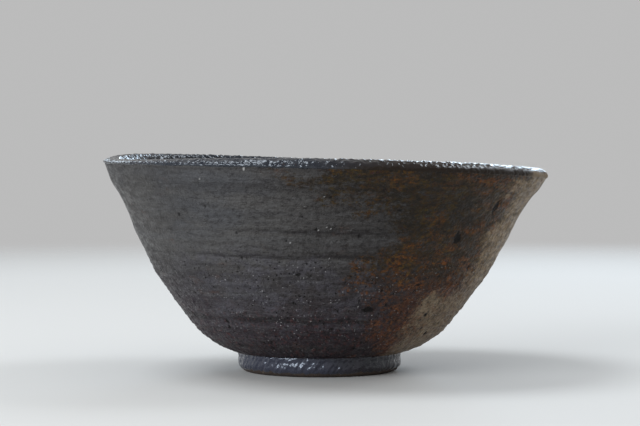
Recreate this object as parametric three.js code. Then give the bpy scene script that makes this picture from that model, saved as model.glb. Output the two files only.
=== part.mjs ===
// A hand-thrown stoneware tea bowl: a flared wall on a low foot ring, with dark glaze coats.
// Millimetres, +Z up. The origin is on the table, under the centre of the mouth.
// The bowl is built as a potter builds it: the thrown clay body, a foot ring luted on with
// slip, and a coat of glaze on the outside, the inside, the lip and the foot.
import * as THREE from "three";

// Form of the wall, over the glaze
const mouthRadius = 65.9; // outside of the wall, where the lip begins to round
const lipHeight = 60.8; // that same line above the table, before the rim's tilt
const footHeight = 5.8; // the line where the wall springs from the foot
const footRadius = 24.3;
const springOut = 0.9; // the wall springs this far outside the foot

// Thickness of the wall and floor, glaze included
const lipThickness = 4.4;
const hipThickness = 6.6;
const floorThickness = 5.6;
const lipRound = 1.3; // how far the lip swells past the end of the wall

// Ledge that the trimming tool left low on the wall
const ledgeDepth = 0.35;

// Inside of the bowl
const floorRadius = 18;
const wellRadius = 12.5; // shallow well where the last of the tea gathers
const wellDepth = 1.1;

// Glaze coats and the slip of the foot joint
const glaze = 0.5;
const rimGlaze = 0.25; // the second dip of the lip lies this thick on the first
const footGlaze = 0.4;
const slip = 0.4;

// Foot ring, as bare clay
const ringWidth = 6.1;
const ringEdge = 2.3; // round of its outer lower edge
const ringInnerEdge = 0.9;
const restWidth = 1.6; // flat that stands on the table

// Rings scratched into both faces of the foot joint, for the slip to key into
const scoreDepth = 0.5;
const scoreWidth = 0.9;
const scoreCount = 2;

// Hollow under the foot, with the small point that trimming leaves at its centre
const recessRise = 1.1; // its ceiling above the foot joint
const recessRound = 0.5;
const pointDrop = 1.2;
const pointRadius = 4.5;

// What the hands left uneven
const lean = 1.4; // the mouth's centre from the wall's centre low down
const footOffset = 0.4; // the ring was set this far off the wall's centre
const rimTilt = 1.77; // high side and low side of the rim, each from the middle
const tiltAngle = THREE.MathUtils.degToRad(176); // the high side
const rimWave = 0.38;
const waveAngle = THREE.MathUtils.degToRad(-50);
const waveCount = 2;
const leanGrowth = 3; // the lean is nearly all in the upper wall
const offsetShare = 0.06; // of the rise, in which the wall comes back over its own centre
const droopShare = 0.32; // of the lip's height, by which it lies flatter on the low side
const droopFocus = 4; // the higher, the closer to the low side the droop stays
const slumpAngle = THREE.MathUtils.degToRad(-156); // here the lip was pressed nearly level
const slumpShare = 0.59; // of the lip's height
const slumpFocus = 10;

// Outside of the wall: share of the rise, then share of the flare
const wallShares = [
  [0, 0],
  [0.04, 0.134],
  [0.104, 0.263],
  [0.154, 0.325],
  [0.234, 0.407],
  [0.331, 0.501],
  [0.44, 0.607],
  [0.549, 0.678],
  [0.654, 0.747],
  [0.753, 0.804],
  [0.84, 0.872],
  [0.913, 0.944],
  [1, 1],
];
// Places along the wall's length, from the foot joint to the lip
const lowerShares = [0, 0.05, 0.12];
const ledgeShares = [0.222, 0.23];
const lapShare = 0.99; // the second dip of the lip reaches down to here
const upperShares = [0.34, 0.47, 0.6, 0.73, 0.86, lapShare, 1];
const innerShares = [1, lapShare, 0.86, 0.73, 0.6, 0.47, 0.36, 0.26];
const bendShares = [0.25, 0.5, 0.75]; // round the bend from the inner wall to the floor
const lipSteps = 5;
const edgeSteps = 4;
const segments = 48;

const ringRadius = footRadius - footGlaze;
const ringInner = ringRadius - ringWidth;
const ringTop = footHeight - slip;
const recessHeight = footHeight + recessRise;
const floorHeight = recessHeight + floorThickness;

const at = (radius, height) => new THREE.Vector2(radius, height);

// A point moved off a line that runs along direction, to the line's left
function leftOf(point, direction, distance) {
  const normal = at(-direction.y, direction.x).normalize();
  return point.clone().addScaledVector(normal, distance);
}

// The points of an open line moved to its left by a distance
function offset(points, distance) {
  return points.map((point, i) => {
    const before = points[Math.max(i - 1, 0)];
    const after = points[Math.min(i + 1, points.length - 1)];
    return leftOf(point, after.clone().sub(before), distance);
  });
}

function wallLine() {
  const springRadius = footRadius + springOut;
  const rise = lipHeight - footHeight;
  const flare = mouthRadius - springRadius;
  const place = ([up, out]) => at(springRadius + flare * out, footHeight + rise * up);
  return new THREE.SplineCurve(wallShares.map(place));
}

// Outside of the wall, from the foot joint up to the lip
function outerWall(wall) {
  const trimmed = (share) => {
    const depth = (ledgeDepth * share) / ledgeShares[0];
    return leftOf(wall.getPointAt(share), wall.getTangentAt(share), depth);
  };
  const plain = (share) => wall.getPointAt(share);
  return [
    ...[...lowerShares, ledgeShares[0]].map(trimmed),
    ...[ledgeShares[1], ...upperShares].map(plain),
  ];
}

// Round of the lip, from the outside of the wall to the inside
function lip(wall) {
  const along = wall.getTangentAt(1);
  const outer = wall.getPointAt(1);
  const middle = leftOf(outer, along, lipThickness / 2);
  const across = outer.clone().sub(middle);
  const points = [];
  for (let i = 1; i < lipSteps; i++) {
    const angle = (Math.PI * i) / lipSteps;
    points.push(
      middle
        .clone()
        .addScaledVector(across, Math.cos(angle))
        .addScaledVector(along, lipRound * Math.sin(angle)),
    );
  }
  return points;
}

// Inside of the wall, from the lip down to the bend above the floor
function innerWall(wall) {
  const last = innerShares[innerShares.length - 1];
  return innerShares.map((share) => {
    const down = (1 - share) / (1 - last);
    const thickness = THREE.MathUtils.lerp(lipThickness, hipThickness, down * down);
    return leftOf(wall.getPointAt(share), wall.getTangentAt(share), thickness);
  });
}

// Bend, floor and well, from the inner wall to the axis
function innerFloor(wallEnd, before) {
  const direction = wallEnd.clone().sub(before);
  const drop = (floorHeight - wallEnd.y) / direction.y;
  const corner = wallEnd.clone().addScaledVector(direction, drop);
  const floorEdge = at(floorRadius, floorHeight);
  const bend = new THREE.QuadraticBezierCurve(wallEnd, corner, floorEdge);
  const wellBottom = floorHeight - wellDepth;
  return [
    ...bendShares.map((share) => bend.getPoint(share)),
    floorEdge,
    at((floorRadius + wellRadius) / 2, floorHeight - wellDepth / 4),
    at(wellRadius, floorHeight - (3 * wellDepth) / 4),
    at(wellRadius / 2, wellBottom),
    at(0, wellBottom),
  ];
}

// The whole glazed surface, from the foot joint to the middle of the well
const wall = wallLine();
const outside = outerWall(wall);
const lipRounding = lip(wall);
const inside = innerWall(wall);
const floor = innerFloor(inside[inside.length - 1], inside[inside.length - 2]);
const surface = [...outside, ...lipRounding, ...inside, ...floor];
const lipStart = outside.length - 1;
const lipEnd = outside.length + lipRounding.length;

// The clay under it. The coat pools where the wall meets the ring, and the well's middle is flat.
function claySurface() {
  const points = offset(surface, glaze);
  points[0] = at(ringRadius, footHeight);
  points[points.length - 1] = at(0, surface[surface.length - 1].y - glaze);
  return points;
}
const clay = claySurface();

// Scored faces of the foot joint, from the inside out: side is 1 upwards and -1 downwards
function scored(height, side) {
  const points = [at(ringInner, height)];
  for (let i = 1; i <= scoreCount; i++) {
    const centre = ringInner + (ringWidth * i) / (scoreCount + 1);
    points.push(
      at(centre - scoreWidth / 2, height),
      at(centre, height + side * scoreDepth),
      at(centre + scoreWidth / 2, height),
    );
  }
  points.push(at(ringRadius, height));
  return points;
}

// The thrown body: seat of the foot, wall, lip, floor, then the hollow under the foot
function clayBodyOutline() {
  const point = recessHeight - pointDrop;
  return [
    at(0, point),
    at(pointRadius / 2, point + pointDrop / 3),
    at(pointRadius, recessHeight),
    at(ringInner - recessRound, recessHeight - recessRound),
    ...scored(footHeight, 1),
    ...clay.slice(1),
  ];
}

function outsideGlazeOutline() {
  const end = lipStart + 1;
  return [...surface.slice(0, end), ...clay.slice(0, end).reverse(), surface[0]];
}

function insideGlazeOutline() {
  return [...clay.slice(lipEnd).reverse(), ...surface.slice(lipEnd)];
}

// The second dip hooks over the lip, and thins out to nothing where it laps both coats
function rimGlazeOutline() {
  const over = offset(surface.slice(lipStart - 1, lipEnd + 2), -rimGlaze).slice(1, -1);
  const core = clay.slice(lipStart, lipEnd + 1).reverse();
  const innerLap = [surface[lipEnd + 1], surface[lipEnd]];
  const outerLap = [surface[lipStart], surface[lipStart - 1]];
  return [outerLap[1], ...over, ...innerLap, ...core, ...outerLap];
}

// Bare clay ring: rounded outside, a flat to stand on, and a hollow middle
function footRingEdge() {
  const points = [];
  for (let i = 0; i <= edgeSteps; i++) {
    const angle = (Math.PI * i) / (2 * edgeSteps);
    const centre = at(ringRadius - ringEdge, ringEdge);
    points.push(at(centre.x + ringEdge * Math.cos(angle), centre.y - ringEdge * Math.sin(angle)));
  }
  return points;
}
const ringEdgePoints = footRingEdge();

function footRingOutline() {
  const restInner = ringRadius - ringEdge - restWidth;
  return [
    at(restInner, 0),
    ...[...ringEdgePoints].reverse(),
    ...scored(ringTop, -1).reverse(),
    at(restInner - ringInnerEdge, ringInnerEdge),
    at(restInner, 0),
  ];
}

function slipOutline() {
  const lower = scored(ringTop, -1);
  return [...lower, ...scored(footHeight, 1).reverse(), lower[0]];
}

// The foot's coat thins out above the table, so the ring stands on bare clay
function footGlazeOutline() {
  const glazed = [at(ringRadius, footHeight), ...ringEdgePoints.slice(0, -1)];
  const over = offset(glazed, footGlaze).slice(0, -1);
  over[0] = at(footRadius, footHeight);
  return [...glazed, ...over.reverse(), glazed[0]];
}

// How the finished bowl stands: the foot is true, and the wall leans and tilts as it rises
function settle(position) {
  const point = new THREE.Vector3();
  for (let i = 0; i < position.count; i++) {
    point.fromBufferAttribute(position, i);
    const radius = Math.hypot(point.x, point.y);
    const angle = Math.atan2(point.y, point.x);
    const up = Math.max(0, (point.z - footHeight) / (lipHeight - footHeight));
    const wave = rimWave * Math.cos(waveCount * (angle - waveAngle));
    const lift = wave + rimTilt * Math.cos(angle - tiltAngle);
    const unset = Math.max(0, 1 - up / offsetShare);
    const low = (1 - Math.cos(angle - tiltAngle)) / 2;
    const near = (1 + Math.cos(angle - slumpAngle)) / 2;
    const flat = droopShare * low ** droopFocus + slumpShare * near ** slumpFocus;
    const droop = flat * Math.max(0, point.z - lipHeight);
    point.x += lean * (up ** leanGrowth - 1) - footOffset * unset;
    point.z += (lift * up * radius) / mouthRadius - droop;
    position.setXYZ(i, point.x, point.y, point.z);
  }
}

// Splits each facet along the diagonal that starts at its lower edge, whichever way the outline
// runs, so that two pieces that share a face meet on the same triangles once it is bent
function splitFacets(geometry, outline) {
  const index = [];
  for (let i = 0; i < segments; i++) {
    for (let j = 0; j < outline.length - 1; j++) {
      const here = i * outline.length + j;
      const next = here + outline.length;
      const climb = outline[j + 1].y - outline[j].y || outline[j + 1].x - outline[j].x;
      if (climb > 0) index.push(here, next, here + 1, next, next + 1, here + 1);
      else index.push(here, next, next + 1, here, next + 1, here + 1);
    }
  }
  geometry.setIndex(index);
}

function thrown(name, outline, colour, roughness) {
  const geometry = new THREE.LatheGeometry(outline, segments);
  splitFacets(geometry, outline);
  geometry.rotateX(Math.PI / 2);
  settle(geometry.getAttribute("position"));
  geometry.computeVertexNormals();
  const material = new THREE.MeshStandardMaterial({ color: colour, roughness, metalness: 0 });
  const mesh = new THREE.Mesh(geometry, material);
  mesh.name = name;
  return mesh;
}

const bowl = new THREE.Group();
bowl.add(
  thrown("clay_body", clayBodyOutline(), 0x3b302b, 0.85),
  thrown("foot_ring", footRingOutline(), 0x3b302b, 0.85),
  thrown("joint_slip", slipOutline(), 0x4a3d36, 0.9),
  thrown("outside_glaze", outsideGlazeOutline(), 0x34302e, 0.6),
  thrown("inside_glaze", insideGlazeOutline(), 0x1f1e20, 0.3),
  thrown("rim_glaze", rimGlazeOutline(), 0x1c1f25, 0.2),
  thrown("foot_glaze", footGlazeOutline(), 0x222225, 0.3),
);

export default bowl;
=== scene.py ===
"""A dark thrown tea bowl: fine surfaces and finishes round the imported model.

Metres, +Z up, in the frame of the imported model. Each coat, the clay and the foot are modelled
again as fine closed meshes on the same outline, with the unevenness that hands and kiln left.
"""
import math

import bpy
import numpy as np
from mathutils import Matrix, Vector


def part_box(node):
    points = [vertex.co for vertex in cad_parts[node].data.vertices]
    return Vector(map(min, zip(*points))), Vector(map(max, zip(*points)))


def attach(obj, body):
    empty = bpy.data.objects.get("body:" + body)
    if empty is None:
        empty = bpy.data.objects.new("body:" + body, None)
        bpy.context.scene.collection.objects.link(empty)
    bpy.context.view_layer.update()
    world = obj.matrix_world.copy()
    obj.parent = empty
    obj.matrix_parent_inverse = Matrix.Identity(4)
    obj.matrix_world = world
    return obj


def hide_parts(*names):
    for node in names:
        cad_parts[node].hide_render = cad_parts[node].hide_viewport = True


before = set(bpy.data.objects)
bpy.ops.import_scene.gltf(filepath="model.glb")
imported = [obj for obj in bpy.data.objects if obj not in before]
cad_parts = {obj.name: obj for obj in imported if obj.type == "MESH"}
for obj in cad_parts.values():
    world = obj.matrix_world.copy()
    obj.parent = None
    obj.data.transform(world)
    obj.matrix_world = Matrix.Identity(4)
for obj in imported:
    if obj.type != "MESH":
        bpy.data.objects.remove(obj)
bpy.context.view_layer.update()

MM = 0.001

# Sizes read from the frame
MOUTH_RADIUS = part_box("outside_glaze")[1][1]
FOOT_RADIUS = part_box("foot_glaze")[1][1]
FOOT_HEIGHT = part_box("foot_glaze")[1][2]
RING_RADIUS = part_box("foot_ring")[1][1]
RING_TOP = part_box("foot_ring")[1][2]

# The rest of the form, as the model's source has it
LIP_HEIGHT = 60.8 * MM
SPRING_OUT = 0.9 * MM
LIP_THICKNESS = 4.4 * MM
HIP_THICKNESS = 6.6 * MM
FLOOR_THICKNESS = 5.6 * MM
LIP_ROUND = 1.3 * MM
LEDGE_DEPTH = 0.35 * MM
FLOOR_RADIUS = 18 * MM
WELL_RADIUS = 12.5 * MM
WELL_DEPTH = 1.1 * MM
GLAZE = 0.5 * MM
FOOT_GLAZE = FOOT_RADIUS - RING_RADIUS
RING_WIDTH = 6.1 * MM
RING_EDGE = 2.3 * MM
RING_INNER_EDGE = 0.9 * MM
REST_WIDTH = 1.6 * MM
RECESS_RISE = 1.1 * MM
RECESS_ROUND = 0.5 * MM
POINT_DROP = 1.2 * MM
POINT_RADIUS = 4.5 * MM
LEAN = 1.4 * MM
FOOT_OFFSET = 0.4 * MM
RIM_TILT = 1.77 * MM
TILT_ANGLE = math.radians(176)
RIM_WAVE = 0.38 * MM
WAVE_ANGLE = math.radians(-50)
WAVE_COUNT = 2
LEAN_GROWTH = 3
OFFSET_SHARE = 0.06
SLUMP_ANGLE = math.radians(-156)
SLUMP_SHARE = 0.59
SLUMP_FOCUS = 10

# Outside of the wall: share of the rise, then share of the flare
WALL_SHARES = [
    (0, 0), (0.04, 0.134), (0.104, 0.263), (0.154, 0.325), (0.234, 0.407), (0.331, 0.501),
    (0.44, 0.607), (0.549, 0.678), (0.654, 0.747), (0.753, 0.804), (0.84, 0.872),
    (0.913, 0.944), (1, 1),
]

# Finer form than the model's, fitted to the photograph: the rim sags on its low side, most at the
# lip, and the wall swells a little below the rim
SAG = 1.25 * MM
SAG_START = 53 * MM
SAG_FOCUS = 4
SWELL = 0.4 * MM
SWELL_START = 32 * MM
SWELL_FULL = 42 * MM
SWELL_FADE = 49 * MM
SWELL_END = 62 * MM
RIM_GLAZE = 0.18 * MM
LIP_SQUARENESS = 0.96
SECOND_LEDGE_DEPTH = 0.16 * MM

# Places along the wall's length, from the foot joint to the lip
LEDGE_SHARE = 0.226
SECOND_LEDGE_SHARE = 0.272
INNER_END_SHARE = 0.26
LAP_SHARE = 0.9945
INNER_LAP_SHARE = 0.955

RING_INNER = RING_RADIUS - RING_WIDTH
REST_INNER = RING_RADIUS - RING_EDGE - REST_WIDTH
RECESS_HEIGHT = FOOT_HEIGHT + RECESS_RISE
FLOOR_HEIGHT = RECESS_HEIGHT + FLOOR_THICKNESS
SPRING_RADIUS = FOOT_RADIUS + SPRING_OUT
RISE = LIP_HEIGHT - FOOT_HEIGHT

# Steps of each mesh round the bowl
WALL_TURNS = 640
LIP_TURNS = 1700
INSIDE_TURNS = 430
FOOT_TURNS = 1200
RING_TURNS = 420
BODY_TURNS = 360

# Edges sharper than this are shaded as edges
SHARP_ANGLE = math.radians(55)

# Radius of the circle that the materials' round coordinate runs on
ROUND = 0.05


# Noise

LATTICE = 64
LATTICE_DRAWS = 11
SEED_SHIFT = 7.31
NOISE_GAIN = 1.6


def make_slopes():
    """Unit vectors at the corners of a lattice."""
    ways = np.random.RandomState(LATTICE_DRAWS).normal(size=(LATTICE, LATTICE, LATTICE, 3))
    return ways / np.linalg.norm(ways, axis=-1, keepdims=True)


SLOPES = make_slopes()


def noise(places, size, seed):
    """Smooth noise at places (..., 3), about -1 to 1, with lumps of that size."""
    grid = places / size + seed * SEED_SHIFT
    cell = np.floor(grid).astype(int)
    part = grid - cell
    fade = part**3 * (part * (part * 6 - 15) + 10)
    total = np.zeros(places.shape[:-1])
    for corner in np.ndindex(2, 2, 2):
        x, y, z = np.moveaxis((cell + corner) % LATTICE, -1, 0)
        weight = np.prod(np.where(corner, fade, 1 - fade), axis=-1)
        total += weight * np.sum(SLOPES[x, y, z] * (part - corner), axis=-1)
    return total * NOISE_GAIN


def lumps_over(level, places, size, seed):
    """Only the part of the noise that is over a level, so that lumps stand apart."""
    return np.clip(noise(places, size, seed) - level, 0, 1)


def ramp(value, start, end):
    """0 before start, 1 after end, smooth between."""
    part = np.clip((value - start) / (end - start), 0, 1)
    return part * part * (3 - 2 * part)


def bell(value, middle, half):
    """1 at the middle, and fading on both sides."""
    return np.exp(-(((value - middle) / half) ** 2))


def radius_of(places):
    return np.hypot(places[..., 0], places[..., 1])


def turn_of(places):
    """Angle from the front, in degrees, growing to the right, as the photograph sees the bowl."""
    return np.degrees(np.arctan2(places[..., 0], -places[..., 1]))


def stretched(places, share):
    """Places whose turn round the bowl is drawn in, so that noise on them makes long rings."""
    radius = np.maximum(radius_of(places), 1e-9)
    flat = places[..., :2] / radius[..., None] * ROUND * share
    return np.concatenate([flat, places[..., 2:]], axis=-1)


# Outlines, as (radius, height)

def curve_through(points, steps):
    """Uniform Catmull-Rom curve through points."""
    ends = np.vstack([points[:1], points, points[-1:]])
    t = np.linspace(0, 1, steps, endpoint=False)[:, None]
    spans = []
    for a, b, c, d in zip(ends, ends[1:], ends[2:], ends[3:]):
        into = (c - a) / 2
        out = (d - b) / 2
        cubic = (2 * b - 2 * c + into + out) * t**3
        spans.append(cubic + (3 * c - 3 * b - 2 * into - out) * t**2 + into * t + b)
    return np.vstack(spans + [points[-1:]])


def lengths(points):
    """Distance along a line to each of its points."""
    return np.concatenate([[0], np.cumsum(np.linalg.norm(np.diff(points, axis=0), axis=1))])


def directions(points):
    """Unit direction of a line at each of its points."""
    way = np.gradient(points, axis=0)
    return way / np.linalg.norm(way, axis=1)[:, None]


def left_of(points, way, distance):
    """Points moved to the left of their direction."""
    return points + np.column_stack([-way[:, 1], way[:, 0]]) * np.reshape(distance, (-1, 1))


def wall_line(steps):
    """Outside of the wall, from the foot joint to the lip."""
    shares = np.array(WALL_SHARES)
    radius = SPRING_RADIUS + (MOUTH_RADIUS - SPRING_RADIUS) * shares[:, 1]
    return curve_through(np.column_stack([radius, FOOT_HEIGHT + RISE * shares[:, 0]]), steps)


WALL = wall_line(steps=60)
WALL_ALONG = lengths(WALL)
WALL_LENGTH = WALL_ALONG[-1]
WALL_WAY = directions(WALL)


def on_wall(shares):
    """Points and directions at shares of the length of the wall's outside."""
    along = np.asarray(shares) * WALL_LENGTH
    points = np.column_stack([np.interp(along, WALL_ALONG, WALL[:, k]) for k in (0, 1)])
    way = np.column_stack([np.interp(along, WALL_ALONG, WALL_WAY[:, k]) for k in (0, 1)])
    return points, way


def inner_line(shares):
    """Inside of the wall at shares of the outside's length."""
    down = (1 - np.asarray(shares)) / (1 - INNER_END_SHARE)
    thickness = LIP_THICKNESS + (HIP_THICKNESS - LIP_THICKNESS) * down**2
    points, way = on_wall(shares)
    return left_of(points, way, thickness)


def lip_line(steps):
    """Round of the lip, from the outside to the inside, flatter on top than a half circle."""
    (outer,), (along,) = on_wall([1])
    middle = left_of(outer[None], along[None], LIP_THICKNESS / 2)[0]
    angle = np.linspace(0, math.pi, steps + 2)[1:-1, None]
    across = np.sign(np.cos(angle)) * np.abs(np.cos(angle)) ** LIP_SQUARENESS
    rise = np.sin(angle) ** LIP_SQUARENESS
    return middle + (outer - middle) * across + along * LIP_ROUND * rise


def floor_line(steps):
    """Bend, floor and well, from the end of the inner wall to the axis."""
    before, end = inner_line([INNER_END_SHARE + 0.02, INNER_END_SHARE])
    way = end - before
    corner = end + way * (FLOOR_HEIGHT - end[1]) / way[1]
    edge = np.array([FLOOR_RADIUS, FLOOR_HEIGHT])
    t = np.linspace(0, 1, steps)[1:, None]
    bend = (1 - t) ** 2 * end + 2 * t * (1 - t) * corner + t**2 * edge
    radius = np.linspace(FLOOR_RADIUS, 0, steps + 1)[1:]
    sink = 1 - ramp(radius, WELL_RADIUS * 0.75, (FLOOR_RADIUS + WELL_RADIUS) / 2)
    return np.vstack([bend, np.column_stack([radius, FLOOR_HEIGHT - WELL_DEPTH * sink])])


def ring_edge(steps):
    """Outer side of the bare foot ring, from its top down to the flat."""
    angle = np.linspace(0, math.pi / 2, steps)
    centre = RING_RADIUS - RING_EDGE
    side = np.linspace(FOOT_HEIGHT, RING_EDGE, 14, endpoint=False)
    straight = np.column_stack([np.full(len(side), RING_RADIUS), side])
    arc = np.column_stack([centre + RING_EDGE * np.cos(angle), RING_EDGE * (1 - np.sin(angle))])
    return np.vstack([straight, arc])


# Solids

def settle(places):
    """How the finished bowl stands: the wall leans, the rim tilts, and its low side sags."""
    x, y, z = np.moveaxis(places, -1, 0)
    radius = np.hypot(x, y)
    angle = np.arctan2(y, x)
    up = np.maximum(0, (z - FOOT_HEIGHT) / RISE)
    wave = RIM_WAVE * np.cos(WAVE_COUNT * (angle - WAVE_ANGLE))
    lift = wave + RIM_TILT * np.cos(angle - TILT_ANGLE)
    unset = np.maximum(0, 1 - up / OFFSET_SHARE)
    low = (1 - np.cos(angle - TILT_ANGLE)) / 2
    near = (1 + np.cos(angle - SLUMP_ANGLE)) / 2
    slump = SLUMP_SHARE * near**SLUMP_FOCUS * np.maximum(0, z - LIP_HEIGHT)
    sag = SAG * low**SAG_FOCUS * ramp(z, SAG_START, LIP_HEIGHT)
    x = x + LEAN * (up**LEAN_GROWTH - 1) - FOOT_OFFSET * unset
    z = z + lift * up * radius / MOUTH_RADIUS - slump - sag
    return np.stack([x, y, z], axis=-1)


def faces_between(rings, closed):
    """Faces between rings of vertex numbers, where a ring may be one point on the axis."""
    faces = []
    for here in range(len(rings) if closed else len(rings) - 1):
        lower = rings[here]
        upper = rings[(here + 1) % len(rings)]
        quads = np.stack([lower, np.roll(lower, -1), np.roll(upper, -1), upper], axis=1)
        if lower[0] == lower[1]:
            quads = quads[:, 1:]
        elif upper[0] == upper[1]:
            quads = quads[:, :3]
        faces.extend(quads.tolist())
    return faces


def revolve(name, outline, turns, lift):
    """A closed solid: the outline turned round the axis, and each point raised by lift.

    The outline runs with the solid on its left, and closes on itself or starts and ends on the
    axis. lift takes the places (stations, turns, 3) and gives the rise off the surface and, by
    their names, the marks that the materials read.
    """
    outline = np.asarray(outline)
    angle = np.arange(turns) * 2 * math.pi / turns
    round_way = np.stack([np.cos(angle), np.sin(angle)], axis=-1)
    places = np.empty((len(outline), turns, 3))
    places[..., :2] = outline[:, None, :1] * round_way
    places[..., 2] = outline[:, 1:]
    thrown = places.copy()
    thrown[..., :2] = round_way * ROUND
    rise, marks = lift(places)
    way = directions(outline)
    places[..., :2] += (rise * way[:, 1:])[..., None] * round_way
    places[..., 2] -= rise * way[:, :1]

    rings = np.arange(len(outline) * turns).reshape(len(outline), turns)
    closed = outline[0, 0] != 0
    if not closed:
        rings[0] = rings[0, 0]
        rings[-1] = rings[-1, 0]
    used, rings = np.unique(rings, return_inverse=True)
    faces = faces_between(rings.reshape(len(outline), turns), closed)
    mesh = bpy.data.meshes.new(name)
    mesh.from_pydata(settle(places).reshape(-1, 3)[used].tolist(), [], faces)
    layer = mesh.attributes.new("thrown", "FLOAT_VECTOR", "POINT")
    layer.data.foreach_set("vector", thrown.reshape(-1, 3)[used].ravel().astype(np.float32))
    for label, values in marks.items():
        layer = mesh.attributes.new(label, "FLOAT", "POINT")
        layer.data.foreach_set("value", values.ravel()[used].astype(np.float32))
    mesh.shade_smooth()
    mesh.set_sharp_from_angle(angle=SHARP_ANGLE)
    piece = bpy.data.objects.new(name, mesh)
    bpy.context.scene.collection.objects.link(piece)
    return piece


def stations(*runs):
    """A column with one value for each point of an outline, from runs of (value, count)."""
    return np.concatenate([np.full(count, float(value)) for value, count in runs])[:, None]


def dress(piece, node, material):
    """Puts a piece in the place of its node of the model."""
    piece.data.materials.append(material)
    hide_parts(node)
    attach(piece, "root")


# Marks on the outside of the wall, as the photograph shows them: turn from the front in degrees,
# then height, half width, half height, and depth or rise, in millimetres
PHOTO_PITS = [
    (42.6, 41.8, 1.3, 1.4, 0.46), (53.9, 50.7, 1.0, 1.5, 0.46), (-7.3, 31.2, 0.7, 0.5, 0.36),
    (-10.3, 40.9, 0.4, 0.5, 0.3), (-1.9, 44.1, 0.35, 0.5, 0.32), (1.7, 53.0, 0.5, 0.4, 0.3),
    (-25.0, 42.9, 0.35, 0.45, 0.28), (-60.5, 60.0, 0.5, 0.6, 0.3), (17.7, 21.0, 1.7, 0.8, 0.36),
    (20.5, 49.5, 0.8, 0.4, 0.28), (-33.0, 49.8, 0.4, 0.4, 0.3), (34.0, 28.0, 0.9, 0.5, 0.3),
    (-25.0, 42.4, 7.5, 0.22, 0.14), (10.0, 44.0, 5.0, 0.25, 0.14),
]
PHOTO_STONES = [
    (-5.5, 30.5, 0.32, 0.24, 0.28), (-9.2, 40.5, 0.3, 0.35, 0.28), (-1.0, 43.9, 0.25, 0.4, 0.24),
    (0.2, 53.2, 0.3, 0.25, 0.26), (2.5, 52.5, 0.25, 0.4, 0.2), (-4.8, 50.4, 0.4, 0.2, 0.18),
    (-32.0, 57.4, 0.3, 0.3, 0.2), (-19.6, 60.2, 0.35, 0.45, 0.3), (-24.4, 42.1, 0.25, 0.25, 0.2),
    (1.1, 44.9, 0.25, 0.25, 0.22), (2.3, 44.4, 0.25, 0.25, 0.22), (13.6, 22.0, 0.34, 0.3, 0.24),
    (16.0, 51.9, 0.25, 0.5, 0.2), (39.2, 42.6, 0.5, 1.0, 0.11), (2.2, 36.0, 0.3, 0.3, 0.2),
    (47.0, 58.9, 0.3, 0.4, 0.2), (-29.5, 57.3, 2.4, 0.2, 0.1), (42.0, 55.8, 2.6, 0.3, 0.12),
    (-26.5, 36.6, 1.6, 0.25, 0.12), (-13.0, 57.1, 2.0, 0.2, 0.08),
]

# Rings that the fingers and the tool left in the wall: height and half width in millimetres, then
# the tone, from -1 for a dark groove to 1 for a pale ridge; in the colour the tone is painted shade
# in the grooves and painted highlight on the ridges
TONE_RINGS = [
    (60.4, 0.5, -0.5), (58.6, 0.7, 0.2), (55.5, 1.4, -0.35), (53.0, 0.6, 0.15), (51.3, 0.5, 0.4),
    (48.2, 0.9, 0.5), (45.6, 0.5, -0.2), (43.2, 0.6, -0.75), (41.0, 1.2, 0.6), (38.2, 0.9, 0.55),
    (36.3, 0.8, -0.75), (34.9, 0.8, 0.6), (33.2, 0.6, -0.4), (30.5, 1.2, -0.4), (27.5, 0.7, -0.4),
    (25.2, 0.9, 0.45), (22.0, 0.6, -0.3), (20.1, 0.8, 0.3), (17.8, 0.7, -1.5), (15.5, 0.6, 0.4),
    (13.3, 0.5, -0.5), (11.5, 0.6, 0.2), (9.3, 0.8, -0.7),
]
TONE_HEIGHT = 0.05 * MM

# Where the fire's colours begin, as height in millimetres and turn from the front in degrees: first
# the rust, then the ash beyond it, which is also painted sheen on that side
RUST_EDGE = [(5, 24), (14, 26), (22, 23), (32, 20), (38, 20), (46, 18), (54, 12), (58, 5), (62, 8)]
ASH_AND_SHEEN_EDGE = [(5, 42), (14, 44), (22, 48), (30, 59), (38, 63), (46, 60), (54, 57), (58, 62), (62, 65)]
ASH_AND_SHEEN_END = 100

# Small marks at random all round the bowl, heights in millimetres
MARK_DRAWS = 23
RANDOM_PITS = 150
RANDOM_STONES = 260
MARKS_START = 8
MARKS_REACH = 50
MARKS_DENSE_BELOW = 36
MARKS_UPPER_SHARE = 0.25


def random_marks(count, draws, small, large, depth):
    """Marks all round the bowl, most of them low on the wall."""
    marks = []
    while len(marks) < count:
        turn = draws.uniform(-180, 180)
        height = MARKS_START + MARKS_REACH * draws.beta(1.1, 1.6)
        width, tall = draws.uniform(small, large, 2)
        if height < MARKS_DENSE_BELOW or draws.uniform() < MARKS_UPPER_SHARE:
            marks.append((turn, height, width, tall, depth * min(width, tall) / large))
    return marks


mark_draws = np.random.RandomState(MARK_DRAWS)
PITS = PHOTO_PITS + random_marks(RANDOM_PITS, mark_draws, 0.3, 0.75, 0.36)
STONES = PHOTO_STONES + random_marks(RANDOM_STONES, mark_draws, 0.15, 0.3, 0.2)


def dent(places, marks):
    """Depth or rise of all the marks at places."""
    reach = 2.4
    total = np.zeros(places.shape[:-1])
    ragged = 1 + 0.45 * noise(places, 0.9 * MM, 15)
    for turn, height, width, tall, depth in marks:
        rows = np.where(np.abs(places[:, 0, 2] - height * MM) < reach * tall * MM)[0]
        if not len(rows):
            continue
        rows = slice(rows[0], rows[-1] + 1)
        band = places[rows]
        across = np.radians((turn_of(band) - turn + 180) % 360 - 180) * radius_of(band) / width
        away = np.hypot(across, (band[..., 2] - height * MM) / tall) / MM * ragged[rows]
        total[rows] += depth * MM * np.exp(-(away**3))
    return total


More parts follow.
